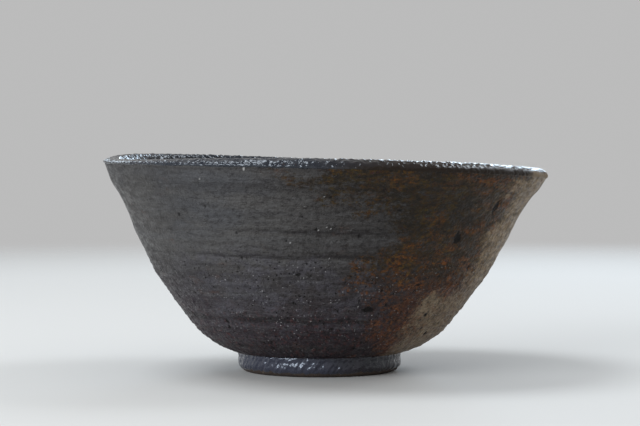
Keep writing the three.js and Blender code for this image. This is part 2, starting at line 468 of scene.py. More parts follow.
def ring_tone(places):
    """Tone of the rings, painted as shade and highlight, which wander a little up and down and come
    and go round the bowl.
    """
    wander = 0.5 * MM * noise(stretched(places, 0.5), 11 * MM, 16)
    wander += 0.2 * MM * noise(stretched(places, 0.4), 3 * MM, 17)
    height = (places[..., 2] + wander) / MM
    tone = np.zeros(height.shape)
    for number, (middle, half, strength) in enumerate(TONE_RINGS):
        here = np.clip(1 + 0.9 * noise(stretched(places, 0.6), 16 * MM, 80 + number), 0.2, 1.6)
        tone += strength * here * bell(height, middle, half)
    return tone


def fire_stains(places):
    """Shares of rust, ash with painted sheen, and olive: each begins at its edge and ends behind the
    bowl.
    """
    height = places[..., 2] / MM
    turn = turn_of(places)
    turn = turn + 14 * noise(places, 15 * MM, 18) + 9 * noise(stretched(places, 0.6), 5 * MM, 19)
    rust = ramp(turn - np.interp(height, *zip(*RUST_EDGE)), -14, 16) * (1 - ramp(turn, 125, 165))
    ash_and_sheen = ramp(turn - np.interp(height, *zip(*ASH_AND_SHEEN_EDGE)), -11, 11)
    ash_and_sheen *= 1 - ramp(turn - ASH_AND_SHEEN_END - 24 * noise(places, 12 * MM, 20), -34, 34)
    ash_and_sheen *= np.clip(1 + ramp(turn, 70, 95) * (0.7 * noise(places, 13 * MM, 28) - 0.2), 0.15, 1.1)
    olive = ramp(height, 36, 46) * (1 - ramp(height, 55, 58) * ramp(turn, 18, 36))
    olive *= 1 - ramp(turn, 34, 52)
    return {"rust": rust, "ash_and_sheen": ash_and_sheen, "olive": olive}


def throwing(places, drift):
    """Broad lumps, throwing rings and fine lines of the wall."""
    pitch = 6.4 * MM
    lumps = 0.05 * MM * noise(places, 20 * MM, 2) + 0.03 * MM * noise(places, 8 * MM, 3)
    phase = places[..., 2] / pitch + turn_of(places) / 360 + 0.35 * drift
    rings = 0.035 * MM * np.sin(2 * math.pi * phase) * (1 + 0.6 * noise(places, 24 * MM, 4))
    lines = 0.03 * MM * noise(stretched(places, 0.06), 1.3 * MM, 5)
    lines += 0.03 * MM * noise(stretched(places, 0.12), 2.6 * MM, 6)
    return lumps + rings + lines


def grit(places):
    """Grains and gouges of the lower wall, up to the line where wiping smoothed it."""
    wiped_from = 35 * MM + 1.6 * MM * noise(stretched(places, 0.4), 14 * MM, 7)
    rough = 1 - 0.8 * ramp(places[..., 2], wiped_from - 1.5 * MM, wiped_from + 1 * MM)
    grains = 0.28 * MM * lumps_over(0.1, places, 1.1 * MM, 8)
    grains += 0.3 * MM * lumps_over(0.35, places, 1.9 * MM, 9)
    gouges = 0.2 * MM * lumps_over(0.35, stretched(places, 0.35), 1.6 * MM, 10)
    return rough * (grains - gouges)


def trimming(places, share, drift):
    """What the trimming tool took off: all below its ledge, and a strip under a second ledge."""
    edge_share = LEDGE_SHARE + 0.006 * noise(stretched(places, 0.5), 12 * MM, 12)
    below = 1 - ramp(share, edge_share - 0.002, edge_share + 0.007)
    ledge = LEDGE_DEPTH * below * np.clip(share / LEDGE_SHARE, 0, 1) * (0.8 + 0.5 * drift)
    edge_share = SECOND_LEDGE_SHARE + 0.004 * noise(stretched(places, 0.5), 9 * MM, 13)
    strip = (1 - ramp(share, edge_share - 0.002, edge_share + 0.006)) * ramp(share, 0.235, 0.262)
    broken = np.clip(0.5 - 2 * noise(places, 36 * MM, 14), 0, 1)
    return ledge + SECOND_LEDGE_DEPTH * strip * broken


def make_outside():
    """The wall's coat: throwing rings, a trimmed ledge, grit low down, pits and small stones."""
    shares = np.linspace(0, 1, 146)
    outer, _ = on_wall(shares)
    under_shares = np.linspace(1, 0, 9)
    under_points, under_way = on_wall(under_shares)
    under = left_of(under_points, under_way, GLAZE)
    under[-1] = (RING_RADIUS, FOOT_HEIGHT)
    shown = stations((1, len(outer)), (0, len(under)))
    share = np.concatenate([shares, under_shares])[:, None]
    deepest = 0.9 * GLAZE
    pit_depth = 0.3 * MM
    stone_rise = 0.2 * MM

    def lift(places):
        height = places[..., 2]
        fade = shown * ramp(share, 0, 0.02) * (1 - 0.9 * ramp(share, 0.93, 0.985))
        drift = noise(places, 30 * MM, 1)
        swell = ramp(height, SWELL_START, SWELL_FULL) * (1 - ramp(height, SWELL_FADE, SWELL_END))
        pits = dent(places, PITS)
        stones = dent(places, STONES)
        tone = ring_tone(places)
        rise = throwing(places, drift) + grit(places) - trimming(places, share, drift)
        rise += stones - pits + TONE_HEIGHT * tone + SWELL * swell
        marks = {"pits": pits / pit_depth, "stones": stones / stone_rise, "tone": tone}
        marks.update(fire_stains(places))
        for label in marks:
            marks[label] = marks[label] * shown
        return fade * np.maximum(rise, -deepest), marks

    return revolve("wall_coat", np.vstack([outer, under]), WALL_TURNS, lift)


def worn_lip(places):
    """Share by which the lip is dull: its outer edge, on the side of the fire's colours."""
    turn = turn_of(places)
    above = places[..., 2] - LIP_HEIGHT + 0.4 * MM * noise(places, 2 * MM, 29)
    above -= 0.7 * MM * ramp(turn, 12, 50)
    return (1 - ramp(above, 0.3 * MM, 1 * MM)) * ramp(turn, 0, 14) * (1 - ramp(turn, 120, 150))


def make_lip():
    """The second dip: thick, glassy and dimpled, with a short lap outside and a soft one inside."""
    margin_share = 0.01
    outer_fade_share = 0.006
    inner_fade_share = 0.03
    uneven_share = 0.002
    buried = 0.1 * MM
    shares = np.linspace(LAP_SHARE - margin_share, 1, 11)
    outer, _ = on_wall(shares)
    over = lip_line(steps=26)
    inner_shares = np.linspace(1, INNER_LAP_SHARE - margin_share, 16)
    front = np.vstack([outer, over, inner_line(inner_shares)])
    core_out, out_way = on_wall([shares[0], 1])
    core_in = inner_line([1, inner_shares[-1]])
    _, in_way = on_wall([1, inner_shares[-1]])
    core = np.vstack([left_of(core_out, out_way, GLAZE), left_of(core_in, -in_way, GLAZE)])
    shown = stations((1, len(front)), (0, len(core)))
    reach = np.concatenate([shares, np.ones(len(over)), inner_shares, np.zeros(len(core))])[:, None]
    inside = np.arange(len(reach))[:, None] >= len(outer) + len(over)
    lap_start = np.where(inside, INNER_LAP_SHARE, LAP_SHARE)
    lap_width = np.where(inside, inner_fade_share, outer_fade_share)

    def lift(places):
        lap = lap_start + uneven_share * noise(places, 9 * MM, 21)
        lap += uneven_share * noise(places, 2.5 * MM, 22)
        cover = ramp(reach, lap, lap + lap_width)
        thick = (RIM_GLAZE + buried) * cover - buried
        dimples = 0.24 * MM * noise(places, 1.15 * MM, 23) + 0.06 * MM * noise(places, 0.7 * MM, 24)
        dimples -= 0.1 * MM * lumps_over(0.3, places, 1.4 * MM, 25)
        soft = 0.06 * MM * noise(places, 12 * MM, 26)
        marks = {"worn": worn_lip(places) * (1 - inside), "ash_and_sheen": fire_stains(places)["ash_and_sheen"]}
        return shown * (thick + cover * (dimples + soft)), marks

    return revolve("lip_coat", np.vstack([front, core[::-1]]), LIP_TURNS, lift)


def make_inside():
    """The inside coat: throwing rings that fade into a smooth pool in the well."""
    wall = inner_line(np.linspace(1, INNER_END_SHARE, 120))
    surface = np.vstack([wall, floor_line(steps=42)])
    coarser = 8
    below = left_of(surface, directions(surface), GLAZE)[::coarser]
    below = np.vstack([[(0, surface[-1, 1] - GLAZE)], below[::-1][1:]])
    shown = stations((0, len(below)), (1, len(surface)))
    ring_pitch = 5.6 * MM
    ring_depth = 0.16 * MM
    spiral_pitch = 4.2 * MM
    spiral_depth = 0.12 * MM

    def lift(places):
        turn = turn_of(places)
        height = places[..., 2]
        radius = radius_of(places)
        fade = shown * (1 - 0.85 * ramp(height, LIP_HEIGHT - 4 * MM, LIP_HEIGHT))
        drift = noise(places, 26 * MM, 31)
        phase = height / ring_pitch - turn / 360 + 0.3 * drift
        rings = ring_depth * np.sin(2 * math.pi * phase) * (1 + 0.5 * noise(places, 20 * MM, 32))
        spiral = spiral_depth * np.sin(2 * math.pi * (radius / spiral_pitch - turn / 360))
        spiral *= ramp(radius, 1.5 * MM, 7 * MM) * (1 - ramp(radius, 12 * MM, 22 * MM))
        on_floor = 1 - ramp(height, FLOOR_HEIGHT + 1 * MM, FLOOR_HEIGHT + 5 * MM)
        broad = 0.12 * MM * noise(places, 17 * MM, 33) + 0.03 * MM * noise(places, 3.2 * MM, 34)
        lines = 0.03 * MM * noise(stretched(places, 0.08), 1.6 * MM, 35)
        rise = (1 - on_floor) * (rings + lines) + on_floor * spiral + broad * ramp(radius, 0, 5 * MM)
        marks = {"floor_share": on_floor * shown, "ridge": rings / (0.2 * MM) * shown}
        return fade * rise, marks

    return revolve("inside_coat", np.vstack([below, surface]), INSIDE_TURNS, lift)


def make_foot_coat():
    """The foot's glossy coat, brushed on in short strokes, with a rolled edge above the table."""
    bare_steps = 5
    clay = ring_edge(steps=22)[:-bare_steps]
    front = clay[::-1]
    shown = stations((1, len(front)), (0, len(clay)))
    edge_height = 0.75 * MM
    groove_height = 4.3 * MM
    buried = 0.08 * MM
    clay_inset = 0.15 * MM

    def lift(places):
        height = places[..., 2]
        turn = turn_of(places)
        edge = edge_height + 0.3 * MM * noise(places, 5 * MM, 41)
        edge += 0.12 * MM * noise(places, 1.8 * MM, 42)
        cover = ramp(height, edge, edge + 0.55 * MM)
        roll = 0.04 * MM * bell(height, edge + 0.6 * MM, 0.45 * MM)
        # Strokes lean to the right; they fade out behind, where the turn starts again
        arc = np.radians(turn) * FOOT_RADIUS
        across = 0.62 * height - 0.78 * arc
        along = 0.78 * height + 0.62 * arc
        leaning = np.stack([across, 0.3 * along, 0 * arc], axis=-1)
        strokes = 0.22 * MM * (1 - ramp(np.abs(turn), 160, 178)) * noise(leaning, 0.95 * MM, 43)
        strokes += 0.09 * MM * noise(places, 1.1 * MM, 44)
        groove_at = groove_height + 0.3 * MM * noise(places, 14 * MM, 45)
        groove = 0.09 * MM * bell(height, groove_at, 0.4 * MM)
        brushed = cover * (1 - ramp(height, FOOT_HEIGHT - 0.5 * MM, FOOT_HEIGHT))
        thick = (FOOT_GLAZE + buried) * ramp(height, edge, edge + 1.7 * MM) - buried
        return shown * (thick + cover * roll + brushed * (strokes - groove)), {"cover": cover}

    return revolve("foot_coat", np.vstack([front, clay - (clay_inset, 0)]), FOOT_TURNS, lift)


def make_foot_ring():
    """The bare ring: rounded outside, a worn flat that it stands on, and a turned inner side."""
    outer = ring_edge(steps=16)
    outer[:, 1] = np.minimum(outer[:, 1], RING_TOP)
    rest_corner = np.array([REST_INNER, 0])
    inner_low = np.array([REST_INNER - RING_INNER_EDGE, RING_INNER_EDGE])
    t = np.linspace(0, 1, 10)[:, None]
    bevel = rest_corner + (inner_low - rest_corner) * t
    bevel[:, 0] -= 0.12 * MM * np.sin(math.pi * t[:, 0])
    side = np.linspace(inner_low, [RING_INNER, RING_TOP], 24)[1:]
    top = np.linspace([RING_INNER, RING_TOP], [RING_RADIUS, RING_TOP], 6)[1:]
    flat = np.linspace(outer[-1], rest_corner, 8)[1:-1]
    outline = np.vstack([bevel, side, top, outer[1:], flat])[::-1]

    def lift(places):
        height = places[..., 2]
        free = ramp(height, 0.02 * MM, 0.8 * MM) * (1 - ramp(height, RING_TOP - 0.6 * MM, RING_TOP))
        turned = 0.06 * MM * noise(stretched(places, 0.08), 0.9 * MM, 51)
        lumps = 0.1 * MM * noise(places, 7 * MM, 52)
        grains = 0.16 * MM * lumps_over(0.2, places, 1.1 * MM, 53)
        return free * (turned + lumps + grains), {}

    return revolve("foot_ring_clay", outline, RING_TURNS, lift)


def make_slip():
    """Slip squeezed out of the foot joint and wiped to a small bead inside the ring."""
    bead_out = 0.32 * MM
    angle = np.linspace(-math.pi / 2, math.pi / 2, 9)
    middle = (RING_TOP + FOOT_HEIGHT) / 2
    half = 1.7 * (FOOT_HEIGHT - RING_TOP) / 2
    bead = np.column_stack([RING_INNER - bead_out * np.cos(angle), middle + half * np.sin(angle)])
    outer = [(RING_RADIUS, FOOT_HEIGHT), (RING_RADIUS, RING_TOP)]

    def lift(places):
        free = 1 - ramp(radius_of(places), RING_INNER - 0.2 * MM, RING_INNER)
        wiped = 0.12 * MM * noise(places, 3.5 * MM, 61) + 0.05 * MM * noise(places, 1.2 * MM, 62)
        return free * wiped, {}

    return revolve("foot_slip", np.vstack([bead, outer])[::-1], RING_TURNS, lift)


def make_clay_body():
    """The thrown clay: all of it is coated but the turned hollow under the foot."""
    radius = np.linspace(0, RING_INNER - RECESS_ROUND, 46)
    point = RECESS_HEIGHT - POINT_DROP * (1 - ramp(radius, 0, POINT_RADIUS)) ** 1.4
    corner_angle = np.linspace(0, math.pi / 2, 6)[1:]
    corner = np.column_stack([
        RING_INNER - RECESS_ROUND + RECESS_ROUND * np.sin(corner_angle),
        RECESS_HEIGHT - RECESS_ROUND * (1 - np.cos(corner_angle)),
    ])
    ceiling = np.vstack([np.column_stack([radius, point]), corner])
    seat = [(RING_INNER, FOOT_HEIGHT), (RING_RADIUS, FOOT_HEIGHT)]
    outer, way = on_wall(np.linspace(0.02, 1, 40))
    outer = left_of(outer, way, GLAZE)
    lip = lip_line(steps=10)
    lip = left_of(lip, directions(lip), GLAZE)
    inner = np.vstack([inner_line(np.linspace(1, INNER_END_SHARE, 40)), floor_line(steps=14)])
    inner = left_of(inner, directions(inner), GLAZE)
    inner[-1] = (0, FLOOR_HEIGHT - WELL_DEPTH - GLAZE)
    outline = np.vstack([ceiling, seat, outer, lip, inner])
    shown_count = len(ceiling) - 2
    shown = stations((1, shown_count), (0, len(outline) - shown_count))
    tool_pitch = 1.9 * MM
    tool_depth = 0.11 * MM

    def lift(places):
        radius = radius_of(places)
        phase = radius / tool_pitch + turn_of(places) / 360
        tool = tool_depth * (np.abs((phase % 1) - 0.5) * 2 - 0.5)
        fade = ramp(radius, 0.5 * MM, 3 * MM)
        fade *= 1 - ramp(radius, RING_INNER - 0.8 * MM, RING_INNER - 0.2 * MM)
        lumps = 0.08 * MM * noise(places, 6 * MM, 71)
        grains = 0.16 * MM * lumps_over(0.25, places, 1.0 * MM, 72)
        return shown * fade * (tool + lumps + grains), {}

    return revolve("thrown_clay", outline, BODY_TURNS, lift)


# Materials

class Finish:
    """A material whose colour is painted on in layers, with short ways to add and join nodes.

    A noise takes the size of its lumps, a share that draws them out round the bowl, the smaller
    the longer, or None for none of that, then its detail, its roughness and a seed. start and end
    are the values at which a result reaches the two ends that to gives.
    """

    def __init__(self, name, colour):
        self.material = bpy.data.materials.new(name)
        self.material.use_nodes = True
        self.tree = self.material.node_tree
        self.shader = self.tree.nodes["Principled BSDF"]
        self.thrown = self.add("ShaderNodeAttribute", attribute_name="thrown").outputs["Vector"]
        self.across, _, self.height = self.add("ShaderNodeSeparateXYZ", {0: self.thrown}).outputs
        self.place = self.add("ShaderNodeTexCoord").outputs["Object"]
        self.colour = colour

    def add(self, kind, inputs=None, **settings):
        made = self.tree.nodes.new(kind)
        for key, value in settings.items():
            setattr(made, key, value)
        for key, value in (inputs or {}).items():
            self.set(made.inputs[key], value)
        return made

    def set(self, socket, value):
        if isinstance(value, bpy.types.NodeSocket):
            self.tree.links.new(value, socket)
        else:
            socket.default_value = value

    def mark(self, name):
        """A mark that the mesh carries."""
        return self.add("ShaderNodeAttribute", attribute_name=name).outputs["Fac"]

    def math(self, operation, a, b):
        return self.add("ShaderNodeMath", {0: a, 1: b}, operation=operation).outputs[0]

    def times(self, a, b):
        return self.math("MULTIPLY", a, b)

    def remap(self, value, start, end, to=(0.0, 1.0)):
        inputs = {0: value, 1: start, 2: end, 3: to[0], 4: to[1]}
        return self.add("ShaderNodeMapRange", inputs, interpolation_type="SMOOTHSTEP").outputs[0]

    def upwards(self, start, end, to=(0.0, 1.0)):
        """Runs from one height to another, in millimetres."""
        return self.remap(self.height, start * MM, end * MM, to)

    def sideways(self, start, end, to=(0.0, 1.0)):
        """Runs from one side to the other, where -1 is the far left and 1 the far right."""
        return self.remap(self.across, start * ROUND, end * ROUND, to)

    def noise(self, size, share, detail, rough, seed):
        place = self.place
        if share is not None:
            inputs = {0: self.thrown, 1: (share, share, 1)}
            place = self.add("ShaderNodeVectorMath", inputs, operation="MULTIPLY").outputs[0]
        shift = (seed * 0.37, seed * 0.11, seed * 0.23)
        shifted = self.add("ShaderNodeVectorMath", {0: place, 1: shift}).outputs[0]
        inputs = {"Vector": shifted, "Scale": 1 / size, "Detail": detail, "Roughness": rough}
        return self.add("ShaderNodeTexNoise", inputs).outputs[0]

    def patches(self, size, share, detail, rough, seed, start, end, to=(0.0, 1.0)):
        """Noise with its contrast drawn apart between two levels."""
        return self.remap(self.noise(size, share, detail, rough, seed), start, end, to)

    def wobble(self, size, share, detail, rough, seed, strength):
        """Noise about zero."""
        centred = self.math("SUBTRACT", self.noise(size, share, detail, rough, seed), 0.5)
        return self.times(centred, strength)

    def spots(self, size, radius_share, cell_share, place=None, frayed=None):
        """1 on spots in a share of the cells; frayed is a noise that eats into their edges."""
        cells = self.add("ShaderNodeTexVoronoi", {"Vector": place or self.place, "Scale": 1 / size})
        pick = self.add("ShaderNodeSeparateColor", {0: cells.outputs["Color"]}).outputs[0]
        away = cells.outputs["Distance"]
        if frayed is not None:
            away = self.math("ADD", away, self.math("SUBTRACT", frayed, 0.16))
        near = self.remap(away, radius_share, radius_share * 0.6)
        return self.times(near, self.remap(pick, 1 - cell_share, 1 - cell_share + 0.02))

    def mix(self, share, a, b):
        """Colour a, turning to b by share."""
        made = self.add("ShaderNodeMix", data_type="RGBA")
        self.set(made.inputs[0], share)
        for socket, value in ((made.inputs[6], a), (made.inputs[7], b)):
            self.set(socket, value if isinstance(value, bpy.types.NodeSocket) else (*value, 1))
        return made.outputs[2]

    def paint(self, share, colour, strength=1.0):
        """Lays a colour over what is painted so far, where share is more than 0."""
        self.colour = self.mix(self.times(share, strength), self.colour, colour)

    def bump(self, height, depth, below=None):
        inputs = {"Height": height, "Distance": depth, "Strength": 1.0}
        if below is not None:
            inputs["Normal"] = below
        return self.add("ShaderNodeBump", inputs).outputs[0]

    def finish(self, **values):
        """Sets the shader's sockets by their names, with spaces written as underscores."""
        values["Base_Color"] = self.colour
        for key, value in values.items():
            self.set(self.shader.inputs[key.replace("_", " ")], value)
        return self.material


# Colours of the wall, from its dark side to the fire's side
CHARCOAL = (0.072, 0.068, 0.065)
DEEP_CHARCOAL = (0.057, 0.054, 0.052)
BLUE_GREY = (0.047, 0.049, 0.056)
SHADE_BROWN_BLACK = (0.024, 0.021, 0.020)
PLUM = (0.022, 0.013, 0.020)
LILAC_GREY = (0.064, 0.060, 0.072)
MAROON = (0.020, 0.008, 0.011)
SOOT_AND_GROOVE_SHADE = (0.012, 0.010, 0.011)
RIDGE_HIGHLIGHT_GREY = (0.085, 0.084, 0.086)
STREAK_GREY = (0.095, 0.093, 0.094)
UPPER_GROUND = (0.018, 0.011, 0.004)
LOWER_GROUND = (0.042, 0.016, 0.009)
OLIVE_GROUND = (0.008, 0.006, 0.003)
RUST = (0.165, 0.052, 0.006)
OCHRE = (0.085, 0.048, 0.006)
ORANGE = (0.200, 0.070, 0.026)
OLIVE = (0.034, 0.022, 0.003)
OXBLOOD = (0.036, 0.010, 0.010)
STRAY_RUST = (0.070, 0.026, 0.012)
ROSE = (0.080, 0.030, 0.028)
ASH_AND_SHEEN = (0.270, 0.195, 0.115)
LOWER_ASH_AND_SHEEN = (0.235, 0.178, 0.115)
GRAIN_BLACK = (0.008, 0.006, 0.006)
SAND = (0.090, 0.082, 0.076)
GLINT = (0.30, 0.29, 0.29)
STONE = (0.32, 0.31, 0.30)
HOLE_SHADE = (0.004, 0.003, 0.003)


def paint_dark_side(look):
    """Charcoal in rings, with painted shade darker towards both sides and at the lower left, and
    plum and maroon low down.
    """
    look.paint(look.patches(6 * MM, 0.06, 4, 0.6, 1, 0.4, 0.62), DEEP_CHARCOAL)
    look.paint(look.patches(12 * MM, 0.4, 5, 0.65, 2, 0.45, 0.66), BLUE_GREY, 0.6)
    # Painted shade: darker from the left of the middle towards the right, and again at the far left
    look.paint(look.sideways(-0.6, 0.25), SHADE_BROWN_BLACK, 0.68)
    look.paint(look.sideways(-0.5, -1.0), SHADE_BROWN_BLACK, 0.46)
    look.paint(look.upwards(41, 10), PLUM, 0.75)
    # Painted shade in plum at the lower left
    look.paint(look.times(look.upwards(36, 20), look.sideways(-0.5, -1.0)), PLUM, 0.5)
    belt = look.times(look.upwards(11, 19), look.upwards(42, 34))
    belt = look.times(belt, look.sideways(-0.9, -0.6))
    cloudy = look.patches(5 * MM, 0.6, 5, 0.7, 24, 0.44, 0.6)
    look.paint(look.times(cloudy, belt), LILAC_GREY, 0.6)
    clotted = look.patches(4 * MM, 0.7, 5, 0.7, 25, 0.5, 0.62)
    look.paint(look.times(clotted, look.upwards(21, 12)), MAROON, 0.7)
    # Painted shade in the grooves and painted highlight on the ridges of the rings
    tone = look.mark("tone")
    look.paint(look.remap(tone, 0.0, -1.0), SOOT_AND_GROOVE_SHADE, 0.75)
    look.paint(look.remap(tone, 0.0, 1.0), RIDGE_HIGHLIGHT_GREY, 0.4)
    look.paint(look.patches(0.8 * MM, 0.12, 4, 0.7, 12, 0.48, 0.7), STREAK_GREY, 0.4)
    look.paint(look.patches(1.0 * MM, 0.22, 4, 0.75, 14, 0.5, 0.68), SOOT_AND_GROOVE_SHADE, 0.45)


def paint_fire_side(look):
    """Rust, olive towards the rim and orange lower down, in blotches, and pale ash and painted sheen
    beyond it.
    """
    rust = look.mark("rust")
    ash_and_sheen = look.mark("ash_and_sheen")
    olive = look.mark("olive")
    ragged = look.wobble(2.2 * MM, 0.6, 5, 0.8, 18, 3.0)
    ragged = look.math("ADD", ragged, look.wobble(0.9 * MM, 0.8, 4, 0.8, 22, 3.4))
    ragged = look.times(ragged, look.remap(rust, 0.0, 0.25, (0.1, 1.0)))
    rust = look.remap(look.math("ADD", rust, ragged), 0.1, 1.0)
    blown = look.wobble(1.3 * MM, 0.7, 5, 0.8, 20, look.remap(ash_and_sheen, 0.0, 0.3, (0.0, 3.2)))
    ash_and_sheen = look.remap(look.math("ADD", ash_and_sheen, blown), 0.1, 1.0)

    low = look.upwards(34, 24)
    ground = look.mix(low, UPPER_GROUND, LOWER_GROUND)
    ground = look.mix(look.times(olive, 0.75), ground, OLIVE_GROUND)
    look.paint(rust, ground, 0.9)
    warm = look.mix(look.patches(2.6 * MM, 0.6, 5, 0.75, 6, 0.42, 0.6), RUST, OCHRE)
    warm = look.mix(look.times(low, 0.7), warm, ORANGE)
    warm = look.mix(look.times(olive, 0.8), warm, OLIVE)
    warm = look.mix(look.patches(1.1 * MM, None, 3, 0.6, 5, 0.55, 0.64), warm, OXBLOOD)
    blotches = look.patches(4.5 * MM, 0.6, 4, 0.7, 23, 0.4, 0.6, (0.2, 1.0))
    speckle = look.times(look.patches(1.0 * MM, 0.6, 5, 0.8, 7, 0.42, 0.58), blotches)
    look.paint(look.times(rust, speckle), warm)
    stray = look.patches(6 * MM, 0.5, 4, 0.7, 8, 0.56, 0.7)
    look.paint(look.times(stray, speckle), STRAY_RUST, 0.5)
    specks = look.patches(1.2 * MM, 0.8, 4, 0.75, 21, 0.54, 0.64)
    look.paint(look.times(specks, look.upwards(26, 12)), ROSE, 0.8)
    dusted = look.patches(1.6 * MM, 0.5, 5, 0.75, 16, 0.4, 0.58, (0.5, 1.0))
    # Pale ash, and painted sheen along that side of the wall
    look.paint(look.times(ash_and_sheen, dusted), look.mix(low, ASH_AND_SHEEN, LOWER_ASH_AND_SHEEN))


def make_outside_finish():
    """Dry, iron-dark coat: charcoal in rings on one side, rust-brown and speckled on the other."""
    look = Finish("wall_coat", CHARCOAL)
    paint_dark_side(look)
    paint_fire_side(look)

    # Fine grain over all of it, and pinholes and sand where the tool dragged the clay;
    # pinholes and pits are painted near black, as painted shade
    mottle = look.patches(1.0 * MM, 0.75, 5, 0.8, 3, 0.46, 0.62)
    look.paint(look.times(mottle, look.sideways(-0.9, 0.3, (0.3, 0.68))), GRAIN_BLACK)
    uneven = look.times(look.noise(12 * MM, 0.4, 3, 0.6, 13), 8 * MM)
    edge = look.math("ADD", look.height, uneven)
    coarse = look.remap(edge, 43 * MM, 36 * MM, (0.25, 1.0))
    frayed = look.times(look.noise(0.5 * MM, None, 2, 0.5, 15), 0.45)
    grains = look.times(look.spots(0.9 * MM, 0.36, 0.45, frayed=frayed), coarse)
    holes = look.times(look.spots(1.2 * MM, 0.34, 0.4, look.thrown, frayed), coarse)
    swept = look.patches(2.2 * MM, 0.2, 3, 0.6, 17, 0.42, 0.55)
    glint_zone = look.math("MAXIMUM", look.times(look.remap(edge, 40 * MM, 35 * MM), swept), 0.06)
    glints = look.times(look.spots(0.95 * MM, 0.3, 0.65, frayed=frayed), glint_zone)
    glints = look.times(glints, look.patches(1.1 * MM, None, 2, 0.5, 19, 0.36, 0.62, (0.15, 1.0)))
    look.paint(grains, SAND, 0.5)
    # Painted highlights: pale glints where the sand would sparkle
    look.paint(glints, GLINT, 0.95)
    # Painted shade: pinholes and pits near black
    look.paint(holes, HOLE_SHADE, 0.85)
    look.paint(look.remap(look.mark("stones"), 0.35, 1.1), STONE, 0.85)
    look.paint(look.remap(look.mark("pits"), 0.2, 0.8), HOLE_SHADE, 0.95)

    rough = look.patches(1.5 * MM, 0.5, 4, 0.7, 9, 0.4, 0.62, (0.34, 0.6))
    rough = look.math("SUBTRACT", rough, look.times(look.math("ADD", grains, glints), 0.25))
    relief = look.bump(look.noise(0.9 * MM, 0.07, 3, 0.6, 10), 0.24 * MM)
    relief = look.bump(look.noise(1.0 * MM, None, 3, 0.65, 11), 0.5 * MM, relief)
    relief = look.bump(look.math("SUBTRACT", grains, holes), 0.25 * MM, relief)
    return look.finish(Roughness=rough, Normal=relief, Specular_IOR_Level=0.16)


def make_lip_finish():
    """Blue-black glass, thin and browner where it breaks over the dimples, dull at its worn edge."""
    blue_black = (0.008, 0.010, 0.016)
    milky = (0.022, 0.024, 0.030)
    right_brown = (0.013, 0.007, 0.004)
    thin_brown = (0.045, 0.024, 0.014)
    worn_brown = (0.014, 0.008, 0.004)
    worn_ash_and_sheen = (0.170, 0.126, 0.078)
    look = Finish("lip_coat", blue_black)
    worn = look.mark("worn")
    look.paint(look.patches(2.5 * MM, None, 4, 0.6, 1, 0.35, 0.7), milky)
    look.paint(look.sideways(-0.15, 0.35), right_brown)
    look.paint(look.patches(1.6 * MM, None, 3, 0.6, 2, 0.62, 0.78), thin_brown, 0.6)
    # The worn edge takes the pale ash of the wall, painted sheen included
    look.paint(worn, look.mix(look.remap(look.mark("ash_and_sheen"), 0.05, 0.6), worn_brown, worn_ash_and_sheen))
    rough = look.patches(1.2 * MM, None, 3, 0.6, 3, 0.35, 0.7, (0.07, 0.18))
    rough = look.math("ADD", rough, look.times(worn, 0.42))
    peel = look.bump(look.noise(1.0 * MM, None, 2, 0.5, 4), 0.22 * MM)
    shine = look.remap(worn, 0.0, 1.0, (0.45, 0.2))
    cool = (0.92, 0.96, 1.0, 1)
    return look.finish(Roughness=rough, Normal=peel, Specular_IOR_Level=shine, Specular_Tint=cool)


def make_foot_finish():
    """Dark glass, with painted sheen in blue-grey on the left, and brown where it thins out above
    the table.
    """
    dark = (0.010, 0.008, 0.010)
    milky = (0.024, 0.019, 0.024)
    painted_sheen_blue = (0.034, 0.036, 0.052)
    thin_brown = (0.05, 0.026, 0.015)
    look = Finish("foot_coat", dark)
    look.paint(look.patches(3 * MM, 0.5, 4, 0.6, 1, 0.35, 0.7), milky)
    # Painted sheen: lighter blue-grey on the left
    look.paint(look.sideways(0.55, -0.15), painted_sheen_blue, 0.85)
    look.paint(look.remap(look.mark("cover"), 0.9, 0.3), thin_brown)
    rough = look.patches(1.8 * MM, None, 3, 0.6, 3, 0.35, 0.7, (0.07, 0.16))
    peel = look.bump(look.noise(1.1 * MM, None, 2, 0.5, 4), 0.15 * MM)
    cool = (0.85, 0.91, 1.0, 1)
    return look.finish(Roughness=rough, Normal=peel, Specular_IOR_Level=0.55, Specular_Tint=cool)


def make_inside_finish():
    """Iron glaze: near black where it pools, breaking to brown along the throwing rings."""
    dark = (0.010, 0.009, 0.010)
    streaked = (0.020, 0.015, 0.013)
    brown = (0.058, 0.028, 0.014)
    pooled = (0.008, 0.008, 0.011)
    speck = (0.05, 0.045, 0.04)
    look = Finish("inside_coat", dark)
    look.paint(look.patches(5 * MM, 0.25, 5, 0.65, 1, 0.4, 0.65), streaked)
    broken = look.patches(2.4 * MM, None, 4, 0.6, 2, 0.42, 0.62)
    look.paint(look.times(look.remap(look.mark("ridge"), 0.3, 1.1), broken), brown)
    look.paint(look.mark("floor_share"), pooled, 0.7)
    look.paint(look.spots(3.4 * MM, 0.2, 0.25), speck, 0.5)
    rough = look.patches(4 * MM, None, 4, 0.6, 3, 0.3, 0.7, (0.16, 0.32))
    peel = look.bump(look.noise(1.1 * MM, None, 3, 0.5, 4), 0.06 * MM)
    return look.finish(Roughness=rough, Normal=peel)


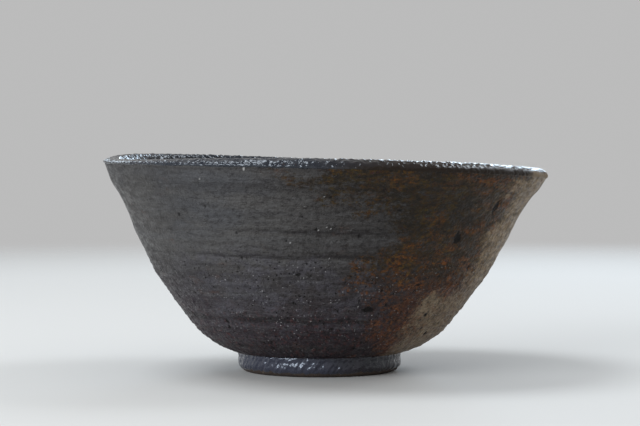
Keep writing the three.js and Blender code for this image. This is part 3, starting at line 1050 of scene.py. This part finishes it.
def make_clay_finish(name, seed):
    """Bare, dry stoneware with pale and dark grog."""
    clay = (0.050, 0.034, 0.026)
    dark_clay = (0.032, 0.023, 0.019)
    pale_grog = (0.16, 0.13, 0.10)
    dark_grog = (0.012, 0.010, 0.009)
    look = Finish(name, clay)
    look.paint(look.patches(6 * MM, None, 5, 0.6, seed, 0.35, 0.68), dark_clay)
    look.paint(look.spots(1.5 * MM, 0.22, 0.22), pale_grog, 0.7)
    look.paint(look.spots(1.1 * MM, 0.3, 0.2, look.thrown), dark_grog, 0.6)
    rough = look.patches(1.5 * MM, None, 3, 0.6, seed + 1, 0.3, 0.7, (0.72, 0.92))
    grain = look.bump(look.noise(0.4 * MM, None, 4, 0.65, seed + 2), 0.12 * MM)
    return look.finish(Roughness=rough, Normal=grain, Specular_IOR_Level=0.3)


def make_slip_finish():
    """Slip: the clay's colour, paler, and smooth from wiping."""
    pale = (0.075, 0.053, 0.040)
    dark = (0.052, 0.037, 0.029)
    look = Finish("foot_slip", pale)
    look.paint(look.patches(2.5 * MM, None, 4, 0.6, 1, 0.35, 0.68), dark)
    wiped = look.bump(look.noise(0.6 * MM, 0.2, 3, 0.6, 2), 0.08 * MM)
    rough = look.patches(1.2 * MM, None, 3, 0.6, 3, 0.3, 0.7, (0.7, 0.9))
    return look.finish(Roughness=rough, Normal=wiped, Specular_IOR_Level=0.3)


dress(make_outside(), "outside_glaze", make_outside_finish())
dress(make_lip(), "rim_glaze", make_lip_finish())
dress(make_inside(), "inside_glaze", make_inside_finish())
dress(make_foot_coat(), "foot_glaze", make_foot_finish())
dress(make_foot_ring(), "foot_ring", make_clay_finish("foot_ring_clay", 4))
dress(make_slip(), "joint_slip", make_slip_finish())
dress(make_clay_body(), "clay_body", make_clay_finish("thrown_clay", 8))


# Floor, light and camera

FLOOR_REACH = 1.1
FLOOR_FADE = 0.5
FLOOR_TURNS = 96
FLOOR_ROUGHNESS = 0.8
HOLE_RADIUS = REST_INNER + REST_WIDTH - 0.3 * MM
FLOOR_COLOUR = (0.60, 0.585, 0.56)
WORLD_COLOUR = (0.50, 0.50, 0.50)

# Name, place in metres, width, height, power in watts and colour of each lamp
LAMPS = [
    ("window", (-0.86, -0.89, 0.36), 1.3, 0.5, 15, (0.86, 0.93, 1.0)),
    ("overhead", (-0.45, 0.0, 1.05), 0.55, 0.55, 6, (0.86, 0.93, 1.0)),
    ("back_left", (-0.5, 1.1, 0.52), 0.3, 0.3, 0.8, (0.75, 0.88, 1.0)),
    ("back_right", (0.27, 1.15, 0.36), 0.45, 0.25, 2.4, (0.68, 0.84, 1.0)),
    ("side_right", (0.85, 0.48, 0.92), 0.55, 0.55, 5, (0.84, 0.92, 1.0)),
]

# The photograph's view: level with the lip, and a little left of the axis
PHOTO_WIDTH = 640
PHOTO_HEIGHT = 426
FOCAL_PIXELS = 2000
HORIZON_ROW = 167.5
CAMERA_DISTANCE = 0.6
CAMERA_SHIFT = -1.62 * MM
SENSOR_WIDTH = 36
NEAREST_SHOWN = 0.01


def make_floor():
    """A pale disc that fades out into the background, open inside the foot so that light gets in."""
    mesh = bpy.data.meshes.new("floor")
    angle = np.arange(FLOOR_TURNS) * 2 * math.pi / FLOOR_TURNS
    circle = np.column_stack([np.cos(angle), np.sin(angle), 0 * angle])
    hole = circle * HOLE_RADIUS - (LEAN + FOOT_OFFSET, 0, 0)
    here = np.arange(FLOOR_TURNS)
    after = np.roll(here, -1)
    faces = np.column_stack([here, after, after + FLOOR_TURNS, here + FLOOR_TURNS])
    mesh.from_pydata(np.vstack([circle * FLOOR_REACH, hole]).tolist(), [], faces.tolist())
    floor = bpy.data.objects.new("floor", mesh)
    bpy.context.scene.collection.objects.link(floor)
    material = bpy.data.materials.new("floor")
    material.use_nodes = True
    tree = material.node_tree
    shader = tree.nodes["Principled BSDF"]
    shader.inputs["Base Color"].default_value = (*FLOOR_COLOUR, 1)
    shader.inputs["Roughness"].default_value = FLOOR_ROUGHNESS
    place = tree.nodes.new("ShaderNodeTexCoord").outputs["Object"]
    away = tree.nodes.new("ShaderNodeVectorMath")
    away.operation = "LENGTH"
    tree.links.new(place, away.inputs[0])
    fade = tree.nodes.new("ShaderNodeMapRange")
    fade.interpolation_type = "SMOOTHSTEP"
    for socket, value in zip(fade.inputs[1:5], (FLOOR_FADE, FLOOR_REACH, 1, 0)):
        socket.default_value = value
    tree.links.new(away.outputs["Value"], fade.inputs[0])
    # Seen from below it is clear, so that the foot shows
    front = tree.nodes.new("ShaderNodeMath")
    front.operation = "SUBTRACT"
    tree.links.new(fade.outputs[0], front.inputs[0])
    tree.links.new(tree.nodes.new("ShaderNodeNewGeometry").outputs["Backfacing"], front.inputs[1])
    tree.links.new(front.outputs[0], shader.inputs["Alpha"])
    mesh.materials.append(material)


def make_world():
    world = bpy.data.worlds.new("studio")
    world.use_nodes = True
    world.node_tree.nodes["Background"].inputs["Color"].default_value = (*WORLD_COLOUR, 1)
    bpy.context.scene.world = world


def make_lamp(name, place, width, height, power, colour):
    """A soft oval lamp aimed at the bowl."""
    data = bpy.data.lights.new(name, "AREA")
    data.shape = "ELLIPSE"
    data.size = width
    data.size_y = height
    data.energy = power
    data.color = colour
    lamp = bpy.data.objects.new(name, data)
    lamp.location = place
    aim = np.array([0, 0, LIP_HEIGHT / 2]) - place
    tip = math.acos(-aim[2] / np.linalg.norm(aim))
    lamp.rotation_euler = (tip, 0, math.atan2(aim[1], aim[0]) - math.pi / 2)
    bpy.context.scene.collection.objects.link(lamp)


def make_camera():
    data = bpy.data.cameras.new("camera")
    data.sensor_width = SENSOR_WIDTH
    data.lens = FOCAL_PIXELS / PHOTO_WIDTH * data.sensor_width
    data.clip_start = NEAREST_SHOWN
    camera = bpy.data.objects.new("camera", data)
    camera.location = (CAMERA_SHIFT, -CAMERA_DISTANCE, LIP_HEIGHT)
    pitch = math.atan((PHOTO_HEIGHT / 2 - HORIZON_ROW) / FOCAL_PIXELS)
    camera.rotation_euler = (math.pi / 2 - pitch, 0, 0)
    bpy.context.scene.collection.objects.link(camera)
    bpy.context.scene.camera = camera


make_floor()
make_world()
for lamp_values in LAMPS:
    make_lamp(*lamp_values)
make_camera()
bpy.context.scene.view_settings.view_transform = "Standard"
